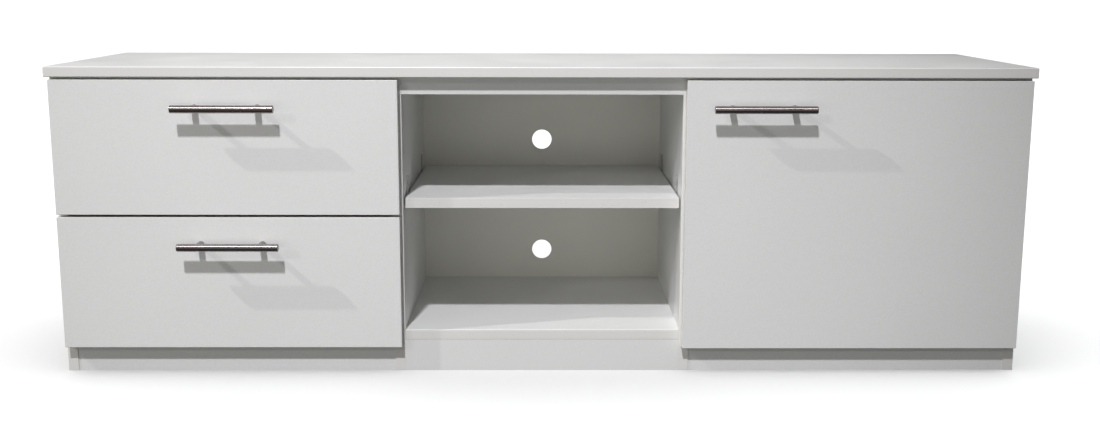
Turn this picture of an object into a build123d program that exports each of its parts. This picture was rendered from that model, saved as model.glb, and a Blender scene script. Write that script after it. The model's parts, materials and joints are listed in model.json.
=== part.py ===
from build123d import *
import os

# Low television cabinet: two drawers on the left, an open bay with a shelf in the middle and a
# cupboard with one door on the right.  X runs to the right, Y to the back and Z up.  The origin
# is on the floor, under the middle of the whole cabinet with its handles.  Millimetres.

# ---------------------------------------------------------------- driving dimensions

# Boards
board = 16.0
box_board = 12.0
sheet = 3.0

# Whole cabinet
top_length = 1520.0
top_depth = 400.0
cabinet_height = 485.0
side_inset = 3.0
front_gap = 2.0
back_recess = 6.0
plinth_height = 51.0
bay_half_width = 218.0

# Fronts
front_width = 532.0
front_side_inset = 3.0
front_top_gap = 4.0
between_fronts = 4.0
drawer_front_height = 209.0
door_height = 424.0
front_edge_radius = 0.8
top_edge_radius = 1.5

# Rails
front_rail_height = 27.0
rear_rail_depth = 80.0

# Shelf in the open bay
shelf_width = 430.0
shelf_depth = 360.0
shelf_recess = 6.0
shelf_top = 279.0
shelf_support_places = (60.0, 314.0)

# Cable holes in the back panel
cable_hole_radius = 18.0
cable_hole_heights = (120.5, 327.5)

# Bar handles
bar_radius = 6.0
bar_length = 156.0
post_radius = 5.0
post_spacing = 96.0
handle_projection = 35.0
handle_drop = 42.0
drawer_handle_shift = 4.0
door_handle_inset = 39.0

# Drawer boxes and their roller runners
box_height = 140.0
box_depth = 350.0
lower_box_bottom = 85.0
upper_box_bottom = 285.0
runner_clearance = 12.5
runner_length = 350.0
runner_start = 2.0
steel = 1.2
channel_height = 18.9
channel_width = 9.0
front_roller_radius = 8.0
front_roller_place = 12.0
rear_roller_radius = 9.0
rear_roller_place = 337.0
roller_width = 5.0
roller_bore_radius = 2.05
axle_radius = 2.0
bottom_above_channel = 2.0
base_groove_height = 10.0
base_groove_depth = 6.0

# Door hinges: the pivot pin stands inside the cup, near the edge of the door
cup_radius = 17.5
cup_depth = 12.5
cup_wall = 0.8
cup_tab = 3.0
pivot_from_edge = 5.9
pivot_from_back = 10.0
pivot_radius = 0.9
pivot_clearance = 0.06
hinge_end_distance = 90.0
arm_reach = 13.0
arm_thickness = 2.0
eye_radius = 1.5
eye_half_width = 3.5

# Fasteners
dowel_radius = 4.0
box_dowel_radius = 3.0

# ---------------------------------------------------------------- worked-out planes

handle_bar_out = handle_projection - bar_radius
front_overhang = board + front_gap
carcass_front = (handle_projection - top_depth) / 2 + front_overhang
top_front = carcass_front - front_overhang
top_back = top_front + top_depth
rear_face = top_back - back_recess
panel_back = rear_face - sheet
panel_height = cabinet_height - board
base_top = plinth_height + board
rail_bottom = panel_height - front_rail_height
front_face = carcass_front - front_overhang
front_back = carcass_front - front_gap
bar_y = front_face - handle_bar_out

carcass_half = top_length / 2 - side_inset
side_inner = carcass_half - board
divider_outer = bay_half_width + board
front_outer = carcass_half - front_side_inset
front_inner = front_outer - front_width

fronts_top = panel_height - front_top_gap
upper_front_bottom = fronts_top - drawer_front_height
lower_front_top = upper_front_bottom - between_fronts
lower_front_bottom = lower_front_top - drawer_front_height
door_bottom = fronts_top - door_height

box_left = -side_inner + runner_clearance
box_right = -divider_outer - runner_clearance

bays = {
    "left": (-side_inner, -divider_outer),
    "centre": (-bay_half_width, bay_half_width),
    "right": (divider_outer, side_inner),
}

STAND_ON = (Align.CENTER, Align.CENTER, Align.MIN)
HANG_BELOW = (Align.CENTER, Align.CENTER, Align.MAX)
LEFT, RIGHT = Vector(-1, 0, 0), Vector(1, 0, 0)
FORWARD, BACK = Vector(0, -1, 0), Vector(0, 1, 0)
UP = Vector(0, 0, 1)

os.makedirs("parts", exist_ok=True)


# ---------------------------------------------------------------- shared shapes


def save(piece, name):
    """Label a finished piece and write it as a file of its own."""
    piece.part.label = name
    export_step(piece.part, f"parts/{name}.step")


def slab(x_span, y_span, z_span, cut_by=()):
    """A flat board between three pairs of planes, less the fasteners that go into it."""
    with BuildPart() as piece:
        with BuildSketch(Plane.XY.offset(z_span[0])):
            with Locations((sum(x_span) / 2, sum(y_span) / 2)):
                Rectangle(x_span[1] - x_span[0], y_span[1] - y_span[0])
        extrude(amount=z_span[1] - z_span[0])
        for fastener in cut_by:
            add(fastener.part, mode=Mode.SUBTRACT)
    return piece


def rods(places, direction, length, radius):
    """Equal round rods that start at the given places and run in one direction."""
    with BuildPart() as group:
        with Locations(*[Plane(origin=place, z_dir=direction) for place in places]):
            Cylinder(radius, length, align=STAND_ON)
    return group


def flat_head_screws(places, direction, length, radius, head_radius):
    """Wood screws with flat heads at the given places and points in one direction."""
    head_height = head_radius - radius
    tip = 2 * radius
    with BuildPart() as group:
        with Locations(*[Plane(origin=place, z_dir=direction) for place in places]):
            Cone(head_radius, radius, head_height, align=STAND_ON)
            Cylinder(radius, length - tip, align=STAND_ON)
            with Locations((0, 0, length - tip)):
                Cone(radius, radius / 5, tip, align=STAND_ON)
    return group


def pan_head_screws(places, direction, length, radius, head_radius, head_height):
    """Screws whose round heads stand on the surface at the given places."""
    with BuildPart() as group:
        with Locations(*[Plane(origin=place, z_dir=direction) for place in places]):
            Cylinder(radius, length, align=STAND_ON)
            Cone(0.7 * head_radius, head_radius, head_height, align=HANG_BELOW)
    return group


# ---------------------------------------------------------------- fasteners in the carcass

base_middle = plinth_height + board / 2
plinth_middle = carcass_front + board / 2


def dowels_into(start_x, direction, y_and_z):
    """Dowels along X, a quarter of their length in the upright and the rest in the board."""
    in_upright = 7.0
    dowel_length = 30.0
    places = [Vector(start_x, y, z) - direction * in_upright for y, z in y_and_z]
    return rods(places, direction, dowel_length, dowel_radius)


outer_bay_dowels = (
    (carcass_front + 50, base_middle),
    (carcass_front + 300, base_middle),
    (plinth_middle, plinth_height / 2),
    (plinth_middle, rail_bottom + front_rail_height / 2),
    (panel_back - 25, panel_height - board / 2),
)
centre_bay_dowels = (
    (carcass_front + 75, base_middle),
    (carcass_front + 325, base_middle),
    (plinth_middle, plinth_height / 2 - 12),
    (plinth_middle, rail_bottom + 6),
    (panel_back - 55, panel_height - board / 2),
)
top_dowel_places = [
    (x, carcass_front + y, panel_height - 20)
    for x in (-carcass_half + board / 2, -bay_half_width - board / 2)
    + (bay_half_width + board / 2, carcass_half - board / 2)
    for y in (70.0, 220.0)
]

with BuildPart() as carcass_dowels:
    add(rods(top_dowel_places, UP, 30, dowel_radius).part)
    for bay, (left_x, right_x) in bays.items():
        y_and_z = centre_bay_dowels if bay == "centre" else outer_bay_dowels
        add(dowels_into(left_x, RIGHT, y_and_z).part)
        add(dowels_into(right_x, LEFT, y_and_z).part)
save(carcass_dowels, "carcass_dowels")

# Screws up through the rails into the top panel
front_rail_screw_places = [
    (x, plinth_middle, rail_bottom)
    for left_x, right_x in bays.values()
    for x in (left_x + 110, right_x - 110)
]
rear_rail_screw_places = [
    (x, panel_back - rear_rail_depth / 2, panel_height - board)
    for left_x, right_x in bays.values()
    for x in (left_x + 110, right_x - 110)
]
with BuildPart() as top_fixing_screws:
    add(flat_head_screws(front_rail_screw_places, UP, 37, 2.0, 4.0).part)
    add(flat_head_screws(rear_rail_screw_places, UP, 26, 2.0, 4.0).part)
save(top_fixing_screws, "top_fixing_screws")

# Screws through the back panel into the rear edges of the boards
upright_lines = (-carcass_half + board / 2, -bay_half_width - board / 2)
upright_lines += (bay_half_width + board / 2, carcass_half - board / 2)
back_screw_places = [(x, rear_face, z) for x in upright_lines for z in (95.0, 205.0, 315.0, 425.0)]
for left_x, right_x in bays.values():
    third = (right_x - left_x) / 3
    back_screw_places += [
        (x, rear_face, z)
        for x in (left_x + third, right_x - third)
        for z in (base_middle, panel_height - board / 2)
    ]
back_panel_screws = pan_head_screws(back_screw_places, FORWARD, 19, 1.5, 3.5, 1.8)
save(back_panel_screws, "back_panel_screws")

# ---------------------------------------------------------------- runners of the drawers

box_bottoms = {"lower": lower_box_bottom, "upper": upper_box_bottom}
runner_screw_distances = (35.0, 163.0, 291.0)
runner_back = carcass_front + runner_start + runner_length


def channel_floor(box_bottom):
    """Height of the inside floor of the cabinet channel for a drawer box."""
    return box_bottom - bottom_above_channel


runner_walls = ((-side_inner, RIGHT), (-divider_outer, LEFT))


def runner_screws_on(wall_x, inward):
    """Flat-headed screws through the channels on one wall, their heads flush with the steel."""
    places = [
        (wall_x + inward.X * steel, carcass_front + y, channel_floor(bottom) + channel_height / 2)
        for bottom in box_bottoms.values()
        for y in runner_screw_distances
    ]
    return flat_head_screws(places, inward * -1, 13, 1.75, 2.9)


with BuildPart() as runner_screws:
    for wall_x, inward in runner_walls:
        add(runner_screws_on(wall_x, inward).part)
save(runner_screws, "runner_screws")


def roller_places(box_bottom, y, radius, floor_gap):
    """Centre height and depth of the rollers that serve one drawer box."""
    return carcass_front + y, channel_floor(box_bottom) + floor_gap + radius


front_roller_gap = 0.5
rear_roller_gap = 0.3
front_axle_reach = 9.0


def front_axle_starts(wall_x, inward):
    """Points on the channel's web from which the front roller axles stand out."""
    starts = []
    for bottom in box_bottoms.values():
        y, z = roller_places(bottom, front_roller_place, front_roller_radius, front_roller_gap)
        starts.append((wall_x + inward.X * 0.2, y, z))
    return starts


# Axles riveted through the webs of the channels, with a wide head that keeps the roller on
with BuildPart() as front_roller_axles:
    for wall_x, inward in runner_walls:
        starts = front_axle_starts(wall_x, inward)
        heads = [Vector(*start) + inward * (front_axle_reach - 0.8) for start in starts]
        with Locations(*[Plane(origin=start, z_dir=inward) for start in starts]):
            Cylinder(axle_radius, front_axle_reach, align=STAND_ON)
        with Locations(*[Plane(origin=head, z_dir=inward) for head in heads]):
            Cylinder(axle_radius + 1.2, 0.8, align=STAND_ON)
save(front_roller_axles, "front_roller_axles")


def cabinet_channel(wall_x, inward, box_bottom):
    """A steel channel on the wall, open towards the drawer, that a roller runs in."""
    floor = channel_floor(box_bottom)
    web_x = wall_x + inward.X * steel / 2
    flange_x = wall_x + inward.X * channel_width / 2
    with BuildPart() as channel:
        with BuildSketch(Plane.XZ.offset(-runner_back)):
            with Locations((web_x, floor + channel_height / 2)):
                Rectangle(steel, channel_height + 2 * steel)
            with Locations(
                (flange_x, floor - steel / 2),
                (flange_x, floor + channel_height + steel / 2),
            ):
                Rectangle(channel_width, steel)
        extrude(amount=runner_length)
    return channel


channels = [
    cabinet_channel(wall_x, inward, bottom)
    for wall_x, inward in runner_walls
    for bottom in box_bottoms.values()
]
with BuildPart() as cabinet_runners:
    for channel in channels:
        add(channel.part)
    add(runner_screws.part, mode=Mode.SUBTRACT)
    add(front_roller_axles.part, mode=Mode.SUBTRACT)
save(cabinet_runners, "cabinet_runners")


def roller_pair(box_bottom, y, radius, floor_gap, wall_offset):
    """Two nylon rollers on one line, one by each wall of the drawer bay."""
    centre_y, centre_z = roller_places(box_bottom, y, radius, floor_gap)
    starts = [
        Plane(origin=(wall_x + inward.X * wall_offset, centre_y, centre_z), z_dir=inward)
        for wall_x, inward in runner_walls
    ]
    with BuildPart() as pair:
        with Locations(*starts):
            Cylinder(radius, roller_width, align=STAND_ON)
            Cylinder(roller_bore_radius, roller_width, align=STAND_ON, mode=Mode.SUBTRACT)
    return pair


for level, bottom in box_bottoms.items():
    front_rollers = roller_pair(
        bottom, front_roller_place, front_roller_radius, front_roller_gap, 3.0
    )
    save(front_rollers, f"{level}_front_rollers")
    rear_rollers = roller_pair(bottom, rear_roller_place, rear_roller_radius, rear_roller_gap, 3.5)
    save(rear_rollers, f"{level}_rear_rollers")

# ---------------------------------------------------------------- hinges of the door

hinge_heights = (door_bottom + hinge_end_distance, fronts_top - hinge_end_distance)
pivot_x = front_outer - pivot_from_edge
pivot_y = front_back - pivot_from_back
cup_x = front_outer - cup_tab - cup_radius
flange_radius = cup_radius + 1.5
flange_thickness = 0.6
cup_screw_spacing = 45.0
cup_screw_inset = 9.5
wing_width = 11.0
plate_thickness = 3.0
plate_line = 37.0
plate_screw_spacing = 32.0
arm_x = pivot_x - arm_reach
arm_face = side_inner - plate_thickness

# Pivot pins, held at both ends in the walls of the cups
pin_half_length = 8.0
pin_starts = [(pivot_x, pivot_y, z - pin_half_length) for z in hinge_heights]
hinge_pins = rods(pin_starts, UP, 2 * pin_half_length, pivot_radius)
save(hinge_pins, "hinge_pins")

# Screws through the wings of the cups and through the door behind its handle
cup_screw_places = [
    (cup_x - cup_screw_inset, front_back + flange_thickness, z + side * cup_screw_spacing / 2)
    for z in hinge_heights
    for side in (-1, 1)
]
door_handle_x = front_inner + door_handle_inset + bar_length / 2
handle_height = fronts_top - handle_drop


def handle_screw_places(centre_x, height):
    """Places of the two machine screws of a handle, on the back of its front."""
    return [(centre_x + side * post_spacing / 2, front_back, height) for side in (-1, 1)]


def handle_screws(centre_x, height):
    """Machine screws that come through the front into the posts of the handle."""
    return pan_head_screws(handle_screw_places(centre_x, height), FORWARD, 26, 2.0, 4.0, 2.5)


with BuildPart() as door_screws:
    add(pan_head_screws(cup_screw_places, FORWARD, 12, 1.75, 3.5, 1.0).part)
    add(handle_screws(door_handle_x, handle_height).part)
save(door_screws, "door_screws")


# Cups let into the door: round pots with a thin rim and wings on the back of the door
cup_mouths = [(cup_x, front_back, z) for z in hinge_heights]
rim_mouths = [(cup_x, front_back + flange_thickness, z) for z in hinge_heights]
cup_outside = rods(cup_mouths, FORWARD, cup_depth, cup_radius)
cavity_depth = flange_thickness + cup_depth - cup_wall
cup_cavity = rods(rim_mouths, FORWARD, cavity_depth, cup_radius - cup_wall)

with BuildPart() as hinge_cups:
    add(cup_outside.part)
    for z in hinge_heights:
        with BuildSketch(Plane.XZ.offset(-front_back)):
            with Locations((cup_x, z)):
                Circle(flange_radius)
            with Locations((cup_x - cup_screw_inset, z)):
                SlotCenterToCenter(cup_screw_spacing, wing_width, rotation=90)
        extrude(amount=-flange_thickness)
    add(cup_cavity.part, mode=Mode.SUBTRACT)
    add(hinge_pins.part, mode=Mode.SUBTRACT)
    add(door_screws.part, mode=Mode.SUBTRACT)
save(hinge_cups, "hinge_cups")

# Screws that hold the mounting plates to the side panel, and the arms to the plates
plate_screw_places = [
    (arm_face, carcass_front + plate_line, z + side * plate_screw_spacing / 2)
    for z in hinge_heights
    for side in (-1, 1)
]
arm_screw_places = [(arm_x - 1, carcass_front + plate_line + 15, z) for z in hinge_heights]
with BuildPart() as hinge_plate_screws:
    add(flat_head_screws(plate_screw_places, RIGHT, 14, 1.75, 3.25).part)
    add(pan_head_screws(arm_screw_places, RIGHT, 6, 2.5, 4.0, 2.0).part)
save(hinge_plate_screws, "hinge_plate_screws")

# Cross-shaped mounting plates on the side panel
with BuildPart() as hinge_mounting_plates:
    for z in hinge_heights:
        with BuildSketch(Plane.YZ.offset(arm_face)):
            with Locations((carcass_front + plate_line + 8, z)):
                RectangleRounded(50, 15, 3)
            with Locations((carcass_front + plate_line, z)):
                SlotCenterToCenter(plate_screw_spacing + 2, 13, rotation=90)
        extrude(amount=plate_thickness)
    add(hinge_plate_screws.part, mode=Mode.SUBTRACT)
save(hinge_mounting_plates, "hinge_mounting_plates")

# Arms: from the eye on the pin to the left inside the cup, then back out of the cup and along
# the mounting plate
arm_back = carcass_front + 66.0
arm_shoulder = carcass_front + 14.0
arm_body_half_width = 7.0
with BuildPart() as hinge_arms:
    for z in hinge_heights:
        with BuildSketch(Plane.XY.offset(z - eye_half_width)):
            with Locations((pivot_x, pivot_y)):
                Circle(eye_radius)
            with Locations((pivot_x - arm_reach / 2, pivot_y)):
                Rectangle(arm_reach, arm_thickness)
            with Locations((arm_x, (pivot_y + arm_shoulder) / 2 + arm_thickness / 4)):
                Rectangle(arm_thickness, arm_shoulder - pivot_y + 1.5 * arm_thickness)
        extrude(amount=2 * eye_half_width)
        with BuildSketch(Plane.XY.offset(z - arm_body_half_width)):
            with Locations(((arm_x - 1 + arm_face) / 2, (arm_shoulder + arm_back) / 2)):
                Rectangle(arm_face - arm_x + 1, arm_back - arm_shoulder)
        extrude(amount=2 * arm_body_half_width)
    with Locations(*[(pivot_x, pivot_y, z) for z in hinge_heights]):
        Cylinder(pivot_radius + pivot_clearance, 2 * eye_half_width, mode=Mode.SUBTRACT)
    add(hinge_plate_screws.part, mode=Mode.SUBTRACT)
save(hinge_arms, "hinge_arms")

# ---------------------------------------------------------------- shelf and its supports

support_thickness = 2.5
support_width = 10.0
support_rise = 28.0
pin_above_shelf = 23.5
support_pin_radius = 2.5
support_pin_length = 8.0
shelf_bottom = shelf_top - board


def shelf_support(wall_x, inward, y):
    """A clear plastic hanger: a pin in the divider, a plate beside the shelf and a foot below."""
    pin_z = shelf_top + pin_above_shelf
    foot = 2.5
    with BuildPart() as hanger:
        with BuildSketch(Plane.YZ.offset(wall_x)):
            with Locations((carcass_front + y, (pin_z + shelf_bottom - foot) / 2)):
                Rectangle(support_width, pin_z - shelf_bottom + foot)
            with Locations((carcass_front + y, pin_z)):
                Circle(support_width / 2)
        extrude(amount=inward.X * support_thickness)
        with BuildSketch(Plane.XZ.offset(-carcass_front - y - 1.5)):
            with BuildLine():
                Polyline(
                    (wall_x, shelf_bottom),
                    (wall_x + inward.X * 11, shelf_bottom),
                    (wall_x + inward.X * 11, shelf_bottom - foot),
                    (wall_x, shelf_bottom - 8),
                    close=True,
                )
            make_face()
        extrude(amount=3.0)
        with BuildSketch(Plane.YZ.offset(wall_x)):
            with Locations((carcass_front + y, shelf_bottom - foot / 2)):
                Rectangle(support_width, foot)
        extrude(amount=inward.X * 11)
        with Locations(Plane(origin=(wall_x, carcass_front + y, pin_z), z_dir=inward * -1)):
            Cylinder(support_pin_radius, support_pin_length, align=STAND_ON)
    return hanger


hangers = [
    shelf_support(wall_x, inward, y)
    for wall_x, inward in ((-bay_half_width, RIGHT), (bay_half_width, LEFT))
    for y in shelf_support_places
]
with BuildPart() as shelf_supports:
    for hanger in hangers:
        add(hanger.part)
save(shelf_supports, "shelf_supports")

shelf_y = (carcass_front + shelf_recess, carcass_front + shelf_recess + shelf_depth)
shelf_x = (-shelf_width / 2, shelf_width / 2)
centre_shelf = slab(shelf_x, shelf_y, (shelf_bottom, shelf_top))
save(centre_shelf, "centre_shelf")

# ---------------------------------------------------------------- carcass boards

carcass_y = (carcass_front, panel_back)
uprights = {
    "left_side_panel": (-carcass_half, -side_inner),
    "left_divider": (-divider_outer, -bay_half_width),
    "right_divider": (bay_half_width, divider_outer),
    "right_side_panel": (side_inner, carcass_half),
}
upright_fasteners = (
    carcass_dowels,
    back_panel_screws,
    runner_screws,
    hinge_plate_screws,
    shelf_supports,
)
for name, x_span in uprights.items():
    upright = slab(x_span, carcass_y, (0, panel_height), cut_by=upright_fasteners)
    save(upright, name)

plinth_y = (carcass_front, carcass_front + board)
for bay, x_span in bays.items():
    recess = 0.0 if bay == "centre" else 1.5
    base_fasteners = (carcass_dowels, back_panel_screws)
    base_panel = slab(x_span, carcass_y, (plinth_height, base_top), cut_by=base_fasteners)
    save(base_panel, f"{bay}_base_panel")
    set_back = (plinth_y[0] + recess, plinth_y[1] + recess)
    plinth = slab(x_span, set_back, (0, plinth_height), cut_by=(carcass_dowels,))
    save(plinth, f"{bay}_plinth")


def rails(y_span, z_span):
    """One rail in each bay, between the uprights."""
    strips = [slab(x_span, y_span, z_span) for x_span in bays.values()]
    with BuildPart() as group:
        for strip in strips:
            add(strip.part)
        for fastener in (carcass_dowels, top_fixing_screws, back_panel_screws):
            add(fastener.part, mode=Mode.SUBTRACT)
    return group


front_rails = rails(plinth_y, (rail_bottom, panel_height))
save(front_rails, "front_rails")
rear_rail_y = (panel_back - rear_rail_depth, panel_back)
rear_rails = rails(rear_rail_y, (panel_height - board, panel_height))
save(rear_rails, "rear_rails")

with BuildPart() as top_panel:
    with BuildSketch(Plane.XY.offset(panel_height)):
        with Locations((0, (top_front + top_back) / 2)):
            Rectangle(top_length, top_depth)
    extrude(amount=board)
    fillet(top_panel.edges(), top_edge_radius)
    add(carcass_dowels.part, mode=Mode.SUBTRACT)
    add(top_fixing_screws.part, mode=Mode.SUBTRACT)
save(top_panel, "top_panel")

with BuildPart() as back_panel:
    with BuildSketch(Plane.XZ.offset(-rear_face)):
        with Locations((0, (plinth_height + panel_height) / 2)):
            Rectangle(2 * carcass_half, panel_height - plinth_height)
        with Locations(*[(0, height) for height in cable_hole_heights]):
            Circle(cable_hole_radius, mode=Mode.SUBTRACT)
    extrude(amount=sheet)
    add(back_panel_screws.part, mode=Mode.SUBTRACT)
save(back_panel, "back_panel")

# ---------------------------------------------------------------- fronts and handles


def front_board(x_span, z_span, cut_by):
    """A front panel with softened front edges, less what is let into it."""
    width = x_span[1] - x_span[0]
    height = z_span[1] - z_span[0]
    with BuildPart() as panel:
        with BuildSketch(Plane.XZ.offset(-front_back)):
            with Locations((sum(x_span) / 2, sum(z_span) / 2)):
                Rectangle(width, height)
        extrude(amount=board)
        face = panel.faces().sort_by(Axis.Y)[0]
        fillet(face.edges(), front_edge_radius)
        for cutter in cut_by:
            add(cutter.part, mode=Mode.SUBTRACT)
    return panel


def handle_bar(centre_x, height):
    """A round bar with lightly chamfered ends, in front of its panel."""
    with BuildPart() as bar:
        with Locations(Plane(origin=(centre_x, bar_y, height), z_dir=RIGHT)):
            Cylinder(bar_radius, bar_length)
        chamfer(bar.edges().filter_by(GeomType.CIRCLE), 0.6)
    return bar


def handle_posts(centre_x, height, bar, screws):
    """Two posts between the panel and the bar, hollowed to the bar and tapped for screws."""
    places = [
        Plane(origin=(centre_x + side * post_spacing / 2, front_face, height), z_dir=FORWARD)
        for side in (-1, 1)
    ]
    with BuildPart() as posts:
        with Locations(*places):
            Cylinder(post_radius, handle_bar_out, align=STAND_ON)
        add(bar.part, mode=Mode.SUBTRACT)
        add(screws.part, mode=Mode.SUBTRACT)
    return posts


def buffers(places):
    """Small soft buffers on the back of a front, where it closes on the carcass."""
    return rods([(x, front_back, z) for x, z in places], BACK, 1.6, 4.0)


door_panel = front_board(
    (front_inner, front_outer), (door_bottom, fronts_top), (cup_outside, door_screws)
)
save(door_panel, "door_panel")
door_handle_bar = handle_bar(door_handle_x, handle_height)
save(door_handle_bar, "door_handle_bar")
door_handle_posts = handle_posts(door_handle_x, handle_height, door_handle_bar, door_screws)
save(door_handle_posts, "door_handle_posts")
buffer_x = bay_half_width + board - 6
door_buffers = buffers([(buffer_x, door_bottom + 20), (buffer_x, fronts_top - 20)])
save(door_buffers, "door_buffers")

# ---------------------------------------------------------------- drawers

box_y = (front_back, front_back + box_depth)
box_walls = ((box_left, RIGHT), (box_right, LEFT))
drawer_centre = (-front_outer - front_inner) / 2
drawer_handle_x = drawer_centre + drawer_handle_shift
fixing_lift = (45.0, 110.0)


def drawer_dowels(box_bottom):
    """Dowels from the sides into the front, and from the sides into the box back."""
    into_front = [
        (wall_x + inward.X * box_board / 2, front_back - 8, box_bottom + lift)
        for wall_x, inward in box_walls
        for lift in fixing_lift
    ]
    front_dowels = rods(into_front, BACK, 25, box_dowel_radius)
    back_y = box_y[1] - box_board / 2
    side_dowels = []
    for wall_x, inward in box_walls:
        starts = [(wall_x + inward.X * 5, back_y, box_bottom + lift) for lift in fixing_lift]
        side_dowels.append(rods(starts, inward, 25, box_dowel_radius))
    with BuildPart() as dowels:
        add(front_dowels.part)
        for group in side_dowels:
            add(group.part)
    return dowels


def drawer_runner(wall_x, outward, box_bottom):
    """The steel member under one side of a drawer box, with the flange that rides on the roller."""
    web_x = wall_x + outward.X * steel / 2
    tray_x = wall_x + outward.X * (steel - box_board) / 2
    flange_top = channel_floor(box_bottom) + 18.0
    flange_width = 9.5
    roller_play = 4.0
    with BuildPart() as member:
        with BuildSketch(Plane.XZ.offset(-carcass_front)):
            with Locations((web_x, (box_bottom - steel + flange_top) / 2)):
                Rectangle(steel, flange_top - box_bottom + steel)
            with Locations((tray_x, box_bottom - steel / 2)):
                Rectangle(steel + box_board, steel)
        extrude(amount=-(box_depth - front_gap))
        with BuildSketch(Plane.XZ.offset(-carcass_front)):
            with Locations((wall_x + outward.X * flange_width / 2, flange_top - steel / 2)):
                Rectangle(flange_width, steel)
        extrude(amount=-(rear_roller_place - rear_roller_radius - roller_play))
    return member


def rear_axles(box_bottom):
    """Axles riveted to the drawer members, with wide heads that keep the rear rollers on."""
    y, z = roller_places(box_bottom, rear_roller_place, rear_roller_radius, rear_roller_gap)
    with BuildPart() as axles:
        for wall_x, inward in box_walls:
            root = Plane(origin=(wall_x - inward.X * 0.2, y, z), z_dir=inward * -1)
            head = Plane(origin=(wall_x - inward.X * 9.3, y, z), z_dir=inward * -1)
            with Locations(root):
                Cylinder(axle_radius, 9.8, align=STAND_ON)
            with Locations(head):
                Cylinder(axle_radius + 1.2, 0.7, align=STAND_ON)
    return axles


def make_drawer(level, front_bottom, box_bottom):
    """All the pieces of one drawer, at its closed place."""
    front_top = front_bottom + drawer_front_height
    height = front_top - handle_drop
    base_bottom = box_bottom + base_groove_height
    inner_left = box_left + box_board
    inner_right = box_right - box_board

    dowels = drawer_dowels(box_bottom)
    save(dowels, f"{level}_drawer_dowels")

    base_x = (inner_left - base_groove_depth, inner_right + base_groove_depth)
    base_y = (front_back - 5, box_y[1])
    base = slab(base_x, base_y, (base_bottom, base_bottom + sheet))
    save(base, f"{level}_drawer_base")

    runner_screw_starts = [
        (wall_x + inward.X * box_board / 2, carcass_front + y, box_bottom - steel)
        for wall_x, inward in box_walls
        for y in (40.0, 170.0, 300.0)
    ]
    fixings = flat_head_screws(runner_screw_starts, UP, 9.5, 1.75, 2.9)
    back_machine_screws = handle_screws(drawer_handle_x, height)
    with BuildPart() as screws:
        add(fixings.part)
        add(back_machine_screws.part)
    save(screws, f"{level}_drawer_screws")

    axles = rear_axles(box_bottom)
    save(axles, f"{level}_rear_axles")
    members = [drawer_runner(wall_x, inward * -1, box_bottom) for wall_x, inward in box_walls]
    with BuildPart() as runners:
        for member in members:
            add(member.part)
        add(screws.part, mode=Mode.SUBTRACT)
        add(axles.part, mode=Mode.SUBTRACT)
    save(runners, f"{level}_drawer_runners")

    box_top = box_bottom + box_height
    side_cutters = (base, dowels, screws)
    left_side = slab((box_left, inner_left), box_y, (box_bottom, box_top), side_cutters)
    save(left_side, f"{level}_drawer_left_side")
    right_side = slab((inner_right, box_right), box_y, (box_bottom, box_top), side_cutters)
    save(right_side, f"{level}_drawer_right_side")
    back_y = (box_y[1] - box_board, box_y[1])
    box_back = slab((inner_left, inner_right), back_y, (base_bottom + sheet, box_top), (dowels,))
    save(box_back, f"{level}_drawer_back")

    front_x = (-front_outer, -front_inner)
    front = front_board(front_x, (front_bottom, front_top), (base, dowels, screws))
    save(front, f"{level}_drawer_front")
    bar = handle_bar(drawer_handle_x, height)
    save(bar, f"{level}_handle_bar")
    posts = handle_posts(drawer_handle_x, height, bar, screws)
    save(posts, f"{level}_handle_posts")
    buffer_places = [
        (x, z)
        for x in (-side_inner - 6, -divider_outer + 5)
        for z in (front_bottom + 30, front_top - 40)
    ]
    save(buffers(buffer_places), f"{level}_drawer_buffers")


make_drawer("lower", lower_front_bottom, lower_box_bottom)
make_drawer("upper", upper_front_bottom, upper_box_bottom)
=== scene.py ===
import json
import math

import bmesh
import bpy
from mathutils import Matrix, Vector

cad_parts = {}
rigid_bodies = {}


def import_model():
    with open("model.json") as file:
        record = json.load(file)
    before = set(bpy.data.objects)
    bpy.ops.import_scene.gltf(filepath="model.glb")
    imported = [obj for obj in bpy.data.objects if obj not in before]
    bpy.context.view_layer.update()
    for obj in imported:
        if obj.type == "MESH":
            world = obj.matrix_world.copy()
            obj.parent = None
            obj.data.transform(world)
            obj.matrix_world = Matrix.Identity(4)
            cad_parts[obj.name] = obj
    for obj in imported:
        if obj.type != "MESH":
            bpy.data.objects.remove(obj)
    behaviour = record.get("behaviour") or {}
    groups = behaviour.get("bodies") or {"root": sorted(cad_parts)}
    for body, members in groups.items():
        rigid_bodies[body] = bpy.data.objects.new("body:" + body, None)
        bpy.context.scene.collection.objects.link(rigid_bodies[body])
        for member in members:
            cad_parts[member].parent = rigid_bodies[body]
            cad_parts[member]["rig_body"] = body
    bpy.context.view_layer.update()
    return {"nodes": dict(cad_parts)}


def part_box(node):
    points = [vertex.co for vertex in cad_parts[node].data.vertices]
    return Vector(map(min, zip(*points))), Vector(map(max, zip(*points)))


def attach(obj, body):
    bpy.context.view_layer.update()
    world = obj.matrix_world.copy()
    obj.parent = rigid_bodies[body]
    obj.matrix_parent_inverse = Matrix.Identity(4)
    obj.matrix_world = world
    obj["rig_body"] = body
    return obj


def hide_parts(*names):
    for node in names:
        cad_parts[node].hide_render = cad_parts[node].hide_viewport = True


# Looks of a low white television cabinet with two drawers, an open bay and a cupboard door.
# Metres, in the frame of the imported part: X to the right, Y to the back, Z up.
# In the materials, colours are linear, and noise scales are features in a metre.

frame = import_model()
cad_nodes = frame["nodes"]

MM = 0.001
LEFT, RIGHT = Vector((-1, 0, 0)), Vector((1, 0, 0))
FORWARD, BACK = Vector((0, -1, 0)), Vector((0, 1, 0))
UP = Vector((0, 0, 1))
UNITS = (RIGHT, BACK, UP)

# ---------------------------------------------------------------- material helpers


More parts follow.
